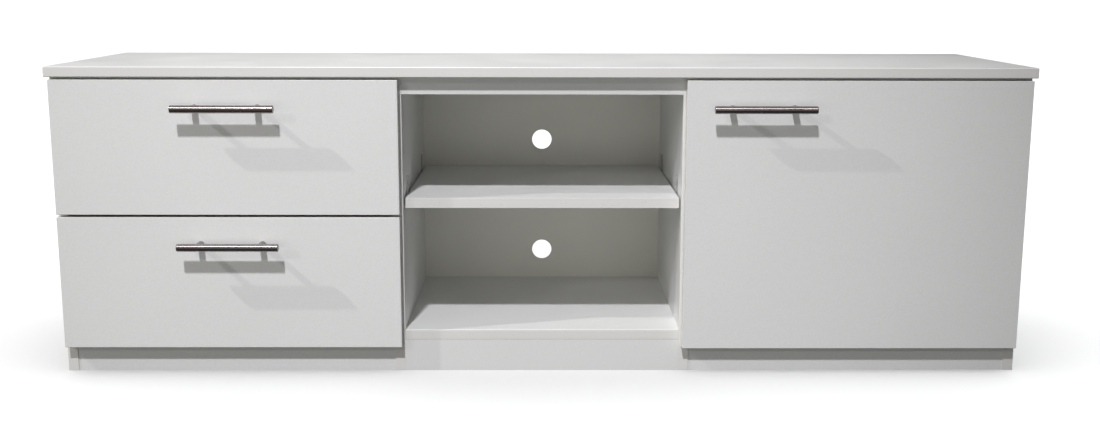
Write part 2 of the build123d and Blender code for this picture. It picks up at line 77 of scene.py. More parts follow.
def add_node(tree, kind, **settings):
    """A new node of a tree, with its own settings."""
    node = tree.nodes.new(kind)
    for key, value in settings.items():
        setattr(node, key, value)
    return node


def set_range(node, start, end, low, high):
    """Makes a Map Range node take start to end over to low to high."""
    node.inputs["From Min"].default_value = start
    node.inputs["From Max"].default_value = end
    node.inputs["To Min"].default_value = low
    node.inputs["To Max"].default_value = high


class Shader:
    """One material: adds nodes, links them, and ends in its Principled surface."""

    def __init__(self, name):
        self.material = bpy.data.materials.new(name)
        self.material.use_nodes = True
        self.tree = self.material.node_tree
        self.surface = self.tree.nodes["Principled BSDF"]
        self.coordinates = self.add("ShaderNodeTexCoord")

    def add(self, kind, **settings):
        return add_node(self.tree, kind, **settings)

    def put(self, value, socket):
        """Links an output into a socket, or sets a plain value on it."""
        if isinstance(value, bpy.types.NodeSocket):
            self.tree.links.new(value, socket)
        else:
            socket.default_value = value

    def stretched(self, stretch):
        """The object's own place in metres, times `stretch` along each axis."""
        mapping = self.add("ShaderNodeMapping")
        self.put(self.coordinates.outputs["Object"], mapping.inputs["Vector"])
        mapping.inputs["Scale"].default_value = stretch
        return mapping.outputs["Vector"]

    def noise(self, scale, detail=3.0, stretch=(1, 1, 1), distortion=0.0):
        """Noise with about `scale` features in a metre, pulled longer where stretch is small."""
        node = self.add("ShaderNodeTexNoise")
        self.put(self.stretched(stretch), node.inputs["Vector"])
        node.inputs["Scale"].default_value = scale
        node.inputs["Detail"].default_value = detail
        node.inputs["Distortion"].default_value = distortion
        return node.outputs["Fac"]

    def cells(self, scale, stretch=(1, 1, 1), output="Color"):
        """Irregular cells: a plain random colour for each, or the distance to its middle."""
        node = self.add("ShaderNodeTexVoronoi")
        self.put(self.stretched(stretch), node.inputs["Vector"])
        node.inputs["Scale"].default_value = scale
        return node.outputs[output]

    def spread(self, value, low, high, start=0.3, end=0.7):
        """Maps a value between start and end to one between low and high."""
        node = self.add("ShaderNodeMapRange")
        self.put(value, node.inputs["Value"])
        set_range(node, start, end, low, high)
        return node.outputs["Result"]

    def ramp(self, value, *stops):
        """Colour ramp through (place, colour) stops."""
        node = self.add("ShaderNodeValToRGB")
        elements = node.color_ramp.elements
        while len(elements) < len(stops):
            elements.new(0.5)
        for element, (place, colour) in zip(elements, stops):
            element.position = place
            element.color = (*colour, 1)
        self.put(value, node.inputs["Fac"])
        return node.outputs["Color"]

    def mix(self, factor, first, second, blend="MIX"):
        """Blends the second colour over the first by a factor from 0 to 1."""
        node = self.add("ShaderNodeMix", data_type="RGBA", blend_type=blend)
        self.put(factor, node.inputs["Factor"])
        colours = [socket for socket in node.inputs if socket.type == "RGBA"]
        for value, socket in zip((first, second), colours):
            self.put(value, socket)
        return [socket for socket in node.outputs if socket.type == "RGBA"][0]

    def math(self, operation, first, second):
        node = self.add("ShaderNodeMath", operation=operation)
        self.put(first, node.inputs[0])
        self.put(second, node.inputs[1])
        return node.outputs[0]

    def bump(self, height, depth, after=None):
        """Bumps the surface by depth metres where height goes from 0 to 1."""
        node = self.add("ShaderNodeBump")
        node.inputs["Distance"].default_value = depth
        self.put(height, node.inputs["Height"])
        if after is not None:
            self.put(after, node.inputs["Normal"])
        return node.outputs["Normal"]

    def facing(self, axis):
        """The object's own normal along one axis, from -1 to 1."""
        node = self.add("ShaderNodeSeparateXYZ")
        self.put(self.coordinates.outputs["Normal"], node.inputs["Vector"])
        return node.outputs[axis]

    def finish(self, **inputs):
        """Fills the surface's inputs, written with _ for each space, and returns the material."""
        for name, value in inputs.items():
            self.put(value, self.surface.inputs[name.replace("_", " ")])
        return self.material


def grey(level):
    return (level, level, level)


# ---------------------------------------------------------------- materials


def melamine():
    """Melamine-faced board: a faintly pearled satin skin with a slow drift in tone."""
    look = Shader("white_melamine")
    drift = look.ramp(
        look.noise(3.0, 2.0),
        (0.3, (0.82, 0.82, 0.81)),
        (0.7, (0.845, 0.845, 0.835)),
    )
    specks = look.ramp(look.noise(420.0, 2.0), (0.35, grey(0.965)), (0.6, grey(1.0)))
    colour = look.mix(1.0, drift, specks, "MULTIPLY")
    rubbed = look.noise(9.0, 4.0, (1, 1, 6), 0.6)
    grain = look.bump(look.noise(1300.0, 3.0), 0.03 * MM)
    waves = look.bump(look.noise(85.0, 2.0), 0.05 * MM, grain)
    return look.finish(
        Base_Color=colour,
        Roughness=look.spread(rubbed, 0.34, 0.44),
        Normal=waves,
        Specular_IOR_Level=0.45,
    )


def edge_band():
    """Plastic edging: a touch glossier and warmer than the faces, faintly mottled."""
    look = Shader("edge_banding")
    drift = look.ramp(
        look.noise(5.0),
        (0.3, (0.80, 0.79, 0.765)),
        (0.7, (0.83, 0.82, 0.795)),
    )
    marks = look.noise(160.0, 3.0)
    pull = look.bump(look.noise(900.0, 2.0), 0.02 * MM)
    return look.finish(
        Base_Color=drift,
        Roughness=look.spread(marks, 0.27, 0.32),
        Normal=look.bump(look.noise(60.0, 1.0), 0.02 * MM, pull),
        Specular_IOR_Level=0.5,
    )


def chipboard():
    """Sawn core of the board: pressed wood chips of many tans, with pits between them."""
    look = Shader("raw_chipboard")
    flakes = look.ramp(
        look.cells(420.0, (1, 1, 1.6)),
        (0.0, (0.20, 0.12, 0.06)),
        (0.35, (0.42, 0.29, 0.16)),
        (0.65, (0.56, 0.41, 0.25)),
        (1.0, (0.68, 0.54, 0.36)),
    )
    dust = look.ramp(look.noise(1500.0, 3.0), (0.3, grey(0.62)), (0.7, grey(1.0)))
    chips = look.cells(420.0, (1, 1, 1.6), "Distance")
    pits = look.bump(look.noise(700.0, 5.0), 0.35 * MM)
    return look.finish(
        Base_Color=look.mix(0.8, flakes, dust, "MULTIPLY"),
        Roughness=look.spread(look.noise(300.0), 0.78, 0.95),
        Normal=look.bump(chips, 0.25 * MM, pits),
    )


def hardboard():
    """Thin sheet, painted white in front or on top, with a brown screen-marked back."""
    look = Shader("white_hardboard")
    paint = look.ramp(
        look.noise(5.0),
        (0.3, (0.79, 0.78, 0.715)),
        (0.7, (0.83, 0.82, 0.755)),
    )
    fibres = look.noise(500.0, 5.0, (1, 1, 0.35), 1.2)
    brown = look.ramp(
        fibres,
        (0.25, (0.20, 0.125, 0.07)),
        (0.5, (0.36, 0.235, 0.14)),
        (0.75, (0.48, 0.33, 0.21)),
    )
    patches = look.ramp(look.noise(7.0, 4.0), (0.3, grey(0.85)), (0.7, grey(1.0)))
    bare = look.mix(1.0, brown, patches, "MULTIPLY")
    facing_front = look.math("MULTIPLY", look.facing("Y"), -1.0)
    shown = look.math("MAXIMUM", facing_front, look.facing("Z"))
    painted = look.spread(shown, 0, 1, 0.6, 0.9)
    wires = look.add("ShaderNodeTexWave", wave_type="BANDS", bands_direction="X")
    crosswires = look.add("ShaderNodeTexWave", wave_type="BANDS", bands_direction="Z")
    for node in (wires, crosswires):
        look.put(look.coordinates.outputs["Object"], node.inputs["Vector"])
        node.inputs["Scale"].default_value = 160.0
        node.inputs["Distortion"].default_value = 0.6
    screen = look.math("MULTIPLY", wires.outputs["Fac"], crosswires.outputs["Fac"])
    mesh_marks = look.math("MULTIPLY", screen, look.math("SUBTRACT", 1.0, painted))
    skin = look.bump(look.noise(240.0, 3.0), 0.05 * MM)
    return look.finish(
        Base_Color=look.mix(painted, bare, paint),
        Roughness=look.spread(painted, 0.82, 0.5, 0, 1),
        Normal=look.bump(mesh_marks, 0.25 * MM, skin),
    )


def box_foil():
    """Foil-wrapped drawer board: matt white with a very fine printed grain."""
    look = Shader("white_box_foil")
    drift = look.ramp(
        look.noise(6.0),
        (0.3, (0.72, 0.72, 0.70)),
        (0.7, (0.77, 0.77, 0.755)),
    )
    grain = look.noise(240.0, 4.0, (1, 0.03, 1), 0.3)
    lines = look.ramp(grain, (0.35, grey(0.955)), (0.65, grey(1.0)))
    return look.finish(
        Base_Color=look.mix(1.0, drift, lines, "MULTIPLY"),
        Roughness=look.spread(grain, 0.48, 0.6),
        Normal=look.bump(grain, 0.05 * MM),
    )


def metal(name, colour, gloss, brush, brush_scale, mottle):
    """A metal with marks pulled along `brush` (small numbers are the long way of the marks)."""
    look = Shader(name)
    cloud = look.noise(mottle, 4.0)
    shade = look.ramp(cloud, (0.3, tuple(part * 0.86 for part in colour)), (0.7, colour))
    marks = look.noise(brush_scale, 4.0, brush)
    fine = look.ramp(marks, (0.3, grey(0.86)), (0.7, grey(1.0)))
    return look.finish(
        Base_Color=look.mix(1.0, shade, fine, "MULTIPLY"),
        Metallic=1.0,
        Roughness=look.spread(marks, *gloss),
        Normal=look.bump(marks, 0.008 * MM),
    )


def zinc():
    """Zinc plating: bright, cool and blotchy, a little yellow in places."""
    look = Shader("zinc_plating")
    spangle = look.ramp(
        look.cells(700.0),
        (0.0, (0.50, 0.52, 0.53)),
        (0.6, (0.62, 0.63, 0.62)),
        (1.0, (0.68, 0.65, 0.55)),
    )
    return look.finish(
        Base_Color=spangle,
        Metallic=1.0,
        Roughness=look.spread(look.noise(600.0), 0.28, 0.46),
        Normal=look.bump(look.noise(1500.0), 0.02 * MM),
    )


def enamel():
    """White stoved enamel on the runners: smooth, with rub lines along the travel."""
    look = Shader("white_enamel")
    drift = look.ramp(
        look.noise(20.0),
        (0.3, (0.76, 0.77, 0.76)),
        (0.7, (0.82, 0.82, 0.81)),
    )
    rubs = look.noise(500.0, 3.0, (1, 0.01, 1))
    worn = look.ramp(rubs, (0.62, grey(1.0)), (0.72, (0.72, 0.72, 0.71)))
    return look.finish(
        Base_Color=look.mix(1.0, drift, worn, "MULTIPLY"),
        Roughness=look.spread(rubs, 0.26, 0.4),
        Normal=look.bump(look.noise(220.0, 2.0), 0.06 * MM),
        Coat_Weight=0.3,
        Coat_Roughness=0.15,
    )


def moulded(name, dark, light, gloss, clear=0.0, soft=0.0, ior=1.5):
    """Moulded plastic or rubber with a faint flow pattern; gloss is its range of roughness."""
    look = Shader(name)
    flow = look.noise(130.0, 3.0, (1, 1, 0.4), 0.8)
    return look.finish(
        Base_Color=look.ramp(flow, (0.3, dark), (0.7, light)),
        Roughness=look.spread(look.noise(700.0), *gloss),
        Normal=look.bump(look.noise(420.0, 2.0), 0.03 * MM),
        Transmission_Weight=clear,
        IOR=ior,
        Subsurface_Weight=soft,
        Subsurface_Scale=1.5 * MM,
    )


def beech():
    """Beech dowels: pale pink-tan wood with short dark flecks."""
    look = Shader("beech")
    rings = look.ramp(
        look.noise(260.0, 4.0, (0.15, 0.15, 1), 0.4),
        (0.3, (0.42, 0.27, 0.16)),
        (0.7, (0.62, 0.44, 0.29)),
    )
    flecks = look.ramp(
        look.noise(900.0, 2.0, (0.2, 0.2, 1)),
        (0.3, grey(0.75)),
        (0.45, grey(1.0)),
    )
    return look.finish(
        Base_Color=look.mix(1.0, rings, flecks, "MULTIPLY"),
        Roughness=look.spread(look.noise(300.0), 0.55, 0.72),
        Normal=look.bump(look.noise(1200.0, 3.0, (0.2, 0.2, 1)), 0.08 * MM),
    )


WHITE = melamine()
BAND = edge_band()
CHIPS = chipboard()
HARDBOARD = hardboard()
FOIL = box_foil()
STEEL = metal("brushed_steel", (0.41, 0.365, 0.355), (0.20, 0.27), (0.02, 1, 1), 2600.0, 30.0)
# A darker copy of the bar's steel for the posts and the bar ends: its darkness is painted shade,
# and its turned finish is their own
SHADE_PAINTED_STEEL = metal("turned_steel_with_painted_shade", (0.29, 0.275, 0.265), (0.26, 0.36), (1, 1, 1), 2200.0, 30.0)
ZINC = zinc()
NICKEL = metal("nickel_plating", (0.60, 0.57, 0.52), (0.16, 0.28), (1, 0.08, 1), 1500.0, 60.0)
ENAMEL = enamel()
NYLON = moulded("nylon", (0.70, 0.69, 0.65), (0.80, 0.79, 0.755), (0.35, 0.5), soft=0.3)
CLEAR = moulded(
    "clear_plastic",
    (0.90, 0.92, 0.93),
    (0.96, 0.97, 0.97),
    (0.06, 0.16),
    clear=0.85,
    ior=1.49,
)
RUBBER = moulded("clear_rubber", (0.80, 0.81, 0.80), (0.88, 0.89, 0.88), (0.2, 0.34), clear=0.6)
BEECH = beech()

# ---------------------------------------------------------------- mesh helpers

# How many flats make a turned shape round
COARSE, MEDIUM, ROUND, FINE = 24, 32, 48, 64
SHARP_ANGLE = math.radians(50)
LARGE_FACES_WIN = 100


def shade_evenly(piece, keep_sharp):
    """Leans the normals toward the larger faces, so that flat faces look flat."""
    shade = piece.modifiers.new("even_shading", "WEIGHTED_NORMAL")
    shade.keep_sharp = keep_sharp
    shade.weight = LARGE_FACES_WIN


def finish_piece(name, shape, like, materials):
    """Makes an object of the shape, which rides and stands in for the CAD node `like`."""
    for face in shape.faces:
        face.smooth = True
    bmesh.ops.recalc_face_normals(shape, faces=shape.faces)
    mesh = bpy.data.meshes.new(name)
    shape.to_mesh(mesh)
    shape.free()
    mesh.set_sharp_from_angle(angle=SHARP_ANGLE)
    for material in materials:
        mesh.materials.append(material)
    piece = bpy.data.objects.new(name, mesh)
    bpy.context.scene.collection.objects.link(piece)
    shade_evenly(piece, True)
    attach(piece, cad_nodes[like]["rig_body"])
    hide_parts(like)
    return piece


def solid_points(node):
    """The vertices of each separate solid of a CAD node: what its faces join is one solid."""
    mesh = cad_nodes[node].data
    keys = [tuple(round(part, 6) for part in vertex.co) for vertex in mesh.vertices]
    parent = {key: key for key in keys}

    def root(key):
        while parent[key] != key:
            parent[key] = parent[parent[key]]
            key = parent[key]
        return key

    for polygon in mesh.polygons:
        first, *others = (keys[i] for i in polygon.vertices)
        for other in others:
            parent[root(other)] = root(first)
    groups = {}
    for key in parent:
        groups.setdefault(root(key), []).append(key)
    return [[Vector(point) for point in groups[key]] for key in sorted(groups)]


def solids(node):
    """(lowest, highest) corner of each separate solid of a CAD node."""
    return [
        (Vector(map(min, *points)), Vector(map(max, *points))) for points in solid_points(node)
    ]


def add_box(shape, low, high):
    """A box between two corners; returns its faces by the side they look to, as '-x' or '+z'."""
    corners = bmesh.ops.create_cube(shape, size=1)["verts"]
    centre, size = (low + high) / 2, high - low
    for corner in corners:
        steps = zip(centre, size, corner.co)
        corner.co = Vector(middle + wide * share for middle, wide, share in steps)
    faces = {}
    for face in dict.fromkeys(face for corner in corners for face in corner.link_faces):
        offset = face.calc_center_median() - centre
        axis = max(range(3), key=lambda i: abs(offset[i]) / size[i])
        faces[("+" if offset[axis] > 0 else "-") + "xyz"[axis]] = face
    return faces


def join_rings(shape, near, far, material=0):
    """Four-sided faces between two rings of as many vertices."""
    for i in range(len(near)):
        j = (i + 1) % len(near)
        shape.faces.new((near[i], near[j], far[j], far[i])).material_index = material


def lathe(shape, start, axis, profile, count):
    """A turned skin, open at both ends; returns its rings of vertices.

    Profile is (distance along axis, radius) points from end to end.
    """
    turn = axis.to_track_quat("Z", "Y").to_matrix()
    rings = []
    for along, radius in profile:
        ring = []
        for i in range(count):
            angle = 2 * math.pi * i / count
            spot = Vector((radius * math.cos(angle), radius * math.sin(angle), along))
            ring.append(shape.verts.new(start + turn @ spot))
        rings.append(ring)
    for near, far in zip(rings, rings[1:]):
        join_rings(shape, near, far)
    return rings


def far_end(half, length):
    """The first half of a profile, turned about for the other end of a length."""
    return [(length - along, radius) for along, radius in reversed(half)]


def close_ends(shape, rings):
    """Flat faces over the first ring and the last."""
    shape.faces.new(rings[0])
    shape.faces.new(rings[-1])


# ---------------------------------------------------------------- boards

# Materials of a board's edging strips and sawn edges; its faces keep material 0
STRIP, SAWN = 1, 2
# How much skin is seen around a sawn edge, and how far the joints beside a strip are broken
SKIN, SEAM = 0.25 * MM, 0.12 * MM
EDGING, TOP_EDGING = 1.0 * MM, 2.0 * MM
SLIGHT_ROUNDING, FRONT_ROUNDING = 0.4 * MM, 0.8 * MM
FULL_ROUNDING, TOP_ROUNDING = 0.9 * MM, 1.5 * MM
# A rounding takes at most this share of a strip's thickness
MOST_OF_BAND = 0.9
SAME_PLACE = 0.0001 * MM
# In radians: corners of a strip bend more than this, and its rounded edges less
CREASE = 1.0


def axis_of(side):
    """0, 1 or 2 for a side such as '-x'."""
    return "xyz".index(side[1])


def add_board(shape, low, high, banded, band, rounding):
    """A board: a core with sawn edges, and edging strips on its banded sides."""
    size = high - low
    thin = min(range(3), key=lambda i: size[i])
    core_low, core_high = low.copy(), high.copy()
    for side in banded:
        axis = axis_of(side)
        if side[0] == "-":
            core_low[axis] += band
        else:
            core_high[axis] -= band
    faces = add_box(shape, core_low, core_high)
    edges = dict.fromkeys(edge for face in faces.values() for edge in face.edges)
    for side, face in faces.items():
        if axis_of(side) != thin and side not in banded:
            bmesh.ops.inset_individual(shape, faces=[face], thickness=SKIN)
            face.material_index = SAWN
    bmesh.ops.bevel(
        shape, geom=list(edges), offset=SEAM, segments=1, affect="EDGES", clamp_overlap=True
    )
    done = []
    for side in banded:
        add_strip(shape, low, high, side, thin, band, rounding, done)
        done.append(side)


def add_strip(shape, low, high, side, thin, band, rounding, done):
    """One edging strip, which butts against the strips made before it."""
    axis = axis_of(side)
    along = 3 - axis - thin
    strip_low, strip_high = low.copy(), high.copy()
    if side[0] == "-":
        strip_high[axis] = low[axis] + band
    else:
        strip_low[axis] = high[axis] - band
    butted = {sign for sign in "-+" if sign + "xyz"[along] in done}
    if "-" in butted:
        strip_low[along] += band
    if "+" in butted:
        strip_high[along] -= band
    faces = add_box(shape, strip_low, strip_high)
    outer = faces[side]
    inner = faces[("+" if side[0] == "-" else "-") + side[1]]
    inner_plane = strip_high[axis] if side[0] == "-" else strip_low[axis]
    for face in faces.values():
        face.material_index = STRIP
    ends = {sign: faces[sign + "xyz"[along]] for sign in "-+"}
    rounded = [
        edge
        for edge in outer.edges
        if not any(edge in ends[sign].edges for sign in butted)
    ]
    for sign in "-+":
        if sign not in butted:
            rounded += [
                edge
                for edge in ends[sign].edges
                if edge not in inner.edges
                and edge not in rounded
                and abs((edge.verts[0].co - edge.verts[1].co)[axis]) > 0
            ]
    made = bmesh.ops.bevel(
        shape,
        geom=rounded,
        offset=min(rounding, band * MOST_OF_BAND),
        segments=4,
        profile=0.5,
        affect="EDGES",
        clamp_overlap=True,
    )
    for face in made["faces"]:
        face.material_index = STRIP
    seam = [
        edge
        for edge in shape.edges
        if all(face.material_index == STRIP for face in edge.link_faces)
        and all(abs(vertex.co[axis] - inner_plane) < SAME_PLACE for vertex in edge.verts)
        and edge.calc_face_angle(0) > CREASE
    ]
    bmesh.ops.bevel(shape, geom=seam, offset=SEAM, segments=1, affect="EDGES", clamp_overlap=True)


def board(
    node, banded, rounding=SLIGHT_ROUNDING, band=EDGING, face=WHITE
):
    """Boards for every solid of a CAD node."""
    shape = bmesh.new()
    for low, high in solids(node):
        add_board(shape, low, high, banded, band, rounding)
    return finish_piece(f"{node}_board", shape, node, [face, BAND, CHIPS])


def cut(piece, tools):
    """Cuts turned pots, each (mouth, axis, radius, depth), out of a piece."""
    shape = bmesh.new()
    for mouth, axis, radius, depth in tools:
        rings = lathe(shape, mouth, axis, ((-depth, radius), (depth, radius)), FINE)
        close_ends(shape, rings)
    bmesh.ops.recalc_face_normals(shape, faces=shape.faces)
    mesh = bpy.data.meshes.new("cutter")
    shape.to_mesh(mesh)
    shape.free()
    cutter = bpy.data.objects.new("cutter", mesh)
    bpy.context.scene.collection.objects.link(cutter)
    mesh.materials.append(CHIPS)
    carve = piece.modifiers.new("carve", "BOOLEAN")
    carve.object = cutter
    carve.solver = "EXACT"
    carve.material_mode = "TRANSFER"
    piece.modifiers.move(1, 0)
    # The shading modifier stays off while the cut mesh is taken
    shade = piece.modifiers["even_shading"]
    shade.show_viewport = False
    bpy.context.view_layer.update()
    view = bpy.context.evaluated_depsgraph_get()
    carved = bpy.data.meshes.new_from_object(piece.evaluated_get(view))
    piece.modifiers.remove(carve)
    shade.show_viewport = True
    piece.data = carved
    bpy.data.objects.remove(cutter)


FRONT_ONLY = ("-y",)
ALL_ROUND = ("-y", "+y", "-x", "+x")
FRONT_FRAME = ("-z", "+z", "-x", "+x")

board("top_panel", ALL_ROUND, TOP_ROUNDING, TOP_EDGING)
for node in ("left_side_panel", "right_side_panel", "left_divider", "right_divider"):
    board(node, FRONT_ONLY)
for bay in ("left", "centre", "right"):
    board(f"{bay}_base_panel", FRONT_ONLY, FULL_ROUNDING)
    board(f"{bay}_plinth", ())
board("front_rails", ("-z",))
board("rear_rails", FRONT_ONLY)
board("centre_shelf", ALL_ROUND)
door = board("door_panel", FRONT_FRAME, FRONT_ROUNDING)
for level in ("upper", "lower"):
    board(f"{level}_drawer_front", FRONT_FRAME, FRONT_ROUNDING)
    for side in ("left_side", "right_side", "back"):
        board(
            f"{level}_drawer_{side}",
            ("+z",),
            FULL_ROUNDING,
            face=FOIL,
        )

# Round pots in the door for the hinge cups, which reach as deep as the cups do
CUP_RADIUS = 17.5 * MM
RIM_WIDTH = 1.5 * MM
cup_pots = []
door_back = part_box("door_panel")[1].y
for low, high in solids("hinge_cups"):
    mouth = Vector((high.x - RIM_WIDTH - CUP_RADIUS, door_back, (low.z + high.z) / 2))
    cup_pots.append((mouth, FORWARD, CUP_RADIUS, mouth.y - low.y))
cut(door, cup_pots)

# ---------------------------------------------------------------- kept CAD nodes


def dress(node, material, rounding=0.0):
    """Gives a CAD node its material, and a small rounding along its sharp edges."""
    piece = cad_nodes[node]
    piece.data.materials.clear()
    piece.data.materials.append(material)
    weld = piece.modifiers.new("weld", "WELD")
    weld.merge_threshold = 0.001 * MM
    if rounding:
        flat = piece.modifiers.new("merge_flat_faces", "DECIMATE")
        flat.decimate_type = "DISSOLVE"
        flat.angle_limit = math.radians(1)
        edge = piece.modifiers.new("broken_edges", "BEVEL")
        edge.width = rounding
        edge.segments = 2
        edge.limit_method = "ANGLE"
        edge.angle_limit = math.radians(40)
        edge.harden_normals = False
    shade_evenly(piece, False)


dress("back_panel", HARDBOARD)
for level in ("upper", "lower"):
    dress(f"{level}_drawer_base", HARDBOARD)
    dress(f"{level}_drawer_dowels", BEECH)
    dress(f"{level}_drawer_runners", ENAMEL, 0.4 * MM)
    dress(f"{level}_rear_axles", ZINC)
dress("carcass_dowels", BEECH)
dress("cabinet_runners", ENAMEL, 0.4 * MM)
dress("front_roller_axles", ZINC)
dress("shelf_supports", CLEAR, 0.3 * MM)
dress("hinge_mounting_plates", NICKEL, 0.4 * MM)
dress("hinge_arms", NICKEL, 0.3 * MM)
dress("hinge_cups", NICKEL, 0.15 * MM)
dress("hinge_pins", ZINC)

# ---------------------------------------------------------------- handles

BAR_PARTS = 12
# Material of a bar's ends
END = 1


def handle_bar(node):
    """A turned bar along X with softened ends."""
    low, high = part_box(node)
    radius = (high.z - low.z) / 2
    length = high.x - low.x
    start = Vector((low.x, (low.y + high.y) / 2, (low.z + high.z) / 2))
    half = [
        (0.0, radius * 0.80),
        (0.12 * MM, radius * 0.88),
        (0.35 * MM, radius * 0.95),
        (0.75 * MM, radius * 0.99),
        (1.2 * MM, radius),
    ]
    profile = half + [(length * i / BAR_PARTS, radius) for i in range(1, BAR_PARTS)]
    profile += far_end(half, length)
    shape = bmesh.new()
    rings = lathe(shape, start, RIGHT, profile, FINE)
    for ring, outward in ((rings[0], LEFT), (rings[-1], RIGHT)):
        turned_end(shape, ring, -outward)
    # The bar's ends take the darker steel, whose darkness is painted shade
    return finish_piece(f"{node}_turned", shape, node, [STEEL, SHADE_PAINTED_STEEL])


def turned_end(shape, ring, inward):
    """Closes a turned end with a shallow dished face and a small centre mark."""
    centre = sum((vertex.co for vertex in ring), Vector()) / len(ring)
    rim = [vertex.co - centre for vertex in ring]
    for share, depth in ((0.93, 0.0), (0.88, 0.06 * MM), (0.2, 0.09 * MM), (0.12, 0.3 * MM)):
        inner = [shape.verts.new(centre + spoke * share + inward * depth) for spoke in rim]
        join_rings(shape, ring, inner, END)
        ring = inner
    shape.faces.new(ring).material_index = END


def handle_posts(node):
    """Turned posts between the front and the bar, with a fine groove above the foot."""
    shape = bmesh.new()
    for low, high in solids(node):
        radius = (high.x - low.x) / 2
        start = Vector(((low.x + high.x) / 2, high.y, (low.z + high.z) / 2))
        length = high.y - low.y
        profile = (
            (0.0, radius * 0.90),
            (0.25 * MM, radius * 0.985),
            (0.6 * MM, radius),
            (1.9 * MM, radius),
            (2.2 * MM, radius * 0.965),
            (2.5 * MM, radius),
            (length * 0.5, radius),
            (length, radius),
        )
        close_ends(shape, lathe(shape, start, FORWARD, profile, ROUND))
    # The posts take the darker steel, whose darkness is painted shade
    return finish_piece(f"{node}_turned", shape, node, [SHADE_PAINTED_STEEL])


for name in ("upper", "lower", "door"):
    handle_bar(f"{name}_handle_bar")
    handle_posts(f"{name}_handle_posts")

# ---------------------------------------------------------------- screws

THINNEST_RAISED_HEAD = 0.1 * MM
CAD_TOLERANCE = 0.01 * MM
# Shares of the head's radius
RECESS_RADIUS, RECESS_DEPTH = 0.5, 0.45
# Shares of the recess's radius, and of its outline
SLOT_HALF_WIDTH, SLOT_FLOOR = 0.26, 0.55


def cross_recess(shape, rim, radius, centre, axis, depth):
    """Fills the flat inside a rim of vertices, with a tapering cross sunk into it."""
    turn = axis.to_track_quat("Z", "Y").to_matrix()
    narrow = radius * SLOT_HALF_WIDTH
    outline = []
    for quarter in range(4):
        spin = Matrix.Rotation(math.pi / 2 * quarter, 3, "Z")
        for spot in ((radius, -narrow), (radius, narrow), (narrow, narrow)):
            outline.append(spin @ Vector((*spot, 0)))
    top = [shape.verts.new(centre + turn @ spot) for spot in outline]
    bottom = [
        shape.verts.new(centre + turn @ (spot * SLOT_FLOOR) + axis * depth) for spot in outline
    ]
    join_rings(shape, top, bottom)
    shape.faces.new(bottom)
    edges = [
        shape.edges.get((ring[i], ring[(i + 1) % len(ring)]))
        for ring in (top, rim)
        for i in range(len(ring))
    ]
    bmesh.ops.triangle_fill(shape, use_beauty=True, use_dissolve=False, edges=edges)


def screws(node):
    """Cross-headed screws for every solid of a CAD node."""
    shape = bmesh.new()
    for points in solid_points(node):
        add_screw(shape, points)
    return finish_piece(f"{node}_crossed", shape, node, [ZINC])


def add_screw(shape, points):
    """A screw with thread rings in the place of the CAD one, whose wide end is its head."""
    low, high = Vector(map(min, *points)), Vector(map(max, *points))
    centre, size = (low + high) / 2, high - low
    axis = max(range(3), key=lambda i: size[i])
    length, radius = size[axis], size[axis - 1] / 2

    def reach(point):
        """How far a point is from the screw's centre line."""
        return math.dist(point, centre + (point - centre)[axis] * UNITS[axis])

    def widest_at(end):
        return max(reach(point) for point in points if abs(point[axis] - end) < CAD_TOLERANCE)

    head_first = widest_at(low[axis]) > widest_at(high[axis])
    toward = UNITS[axis] * (1 if head_first else -1)
    start = centre - toward * length / 2
    rim = [point for point in points if reach(point) > radius * 0.99]
    under_head = min((point - start).dot(toward) for point in rim)
    shank = widest_at(high[axis] if head_first else low[axis])
    if under_head > THINNEST_RAISED_HEAD:
        profile = [
            (0.0, radius * 0.62),
            (under_head * 0.12, radius * 0.80),
            (under_head * 0.38, radius * 0.94),
            (under_head * 0.75, radius),
            (under_head * 0.97, radius * 0.985),
            (under_head, radius * 0.93),
            (under_head, shank),
        ]
    else:
        profile = [
            (-0.12 * MM, radius * 0.80),
            (-0.04 * MM, radius * 0.97),
            (0.1 * MM, radius),
            (radius - shank + 0.2 * MM, shank),
        ]
    pitch = shank * 0.64
    along = profile[-1][0] + pitch
    while along < length - 3 * pitch:
        profile += [(along, shank * 0.78), (along + pitch * 0.5, shank)]
        along += pitch
    profile += [(length - 2 * pitch, shank * 0.6), (length, shank * 0.08)]
    rings = lathe(shape, start, toward, profile, COARSE)
    top = start + toward * profile[0][0]
    recess, depth = radius * RECESS_RADIUS, radius * RECESS_DEPTH
    cross_recess(shape, rings[0], recess, top, toward, depth)
    shape.faces.new(rings[-1])


for owner in ("back_panel", "top_fixing", "runner", "hinge_plate", "door"):
    screws(f"{owner}_screws")
for level in ("upper", "lower"):
    screws(f"{level}_drawer_screws")

# ---------------------------------------------------------------- rollers and buffers

BORE_RADIUS = 2.05 * MM
RIBS = 6
RIB_HALF_WIDTH = 0.45 * MM
DOME_PARTS = 8


def rollers(node):
    """Nylon rollers: a crowned rim, a thin web with six ribs and a hub on each side."""
    shape = bmesh.new()
    for low, high in solids(node):
        radius, width = (high.z - low.z) / 2, high.x - low.x
        start = Vector((low.x, (low.y + high.y) / 2, (low.z + high.z) / 2))
        dish = width * 0.22
        half = [
            (dish * 0.2, BORE_RADIUS),
            (0.0, BORE_RADIUS * 1.12),
            (0.0, BORE_RADIUS * 1.75),
            (dish, BORE_RADIUS * 1.85),
            (dish, radius * 0.74),
            (0.0, radius * 0.78),
            (0.0, radius * 0.93),
            (width * 0.08, radius * 0.98),
            (width * 0.2, radius),
        ]
        rings = lathe(shape, start, RIGHT, half + far_end(half, width), ROUND)
        join_rings(shape, rings[-1], rings[0])
        for side in (0.0, width - dish):
            for spoke in range(RIBS):
                add_rib(shape, start, side, dish, BORE_RADIUS * 1.7, radius * 0.76, spoke)
    return finish_piece(f"{node}_ribbed", shape, node, [NYLON])


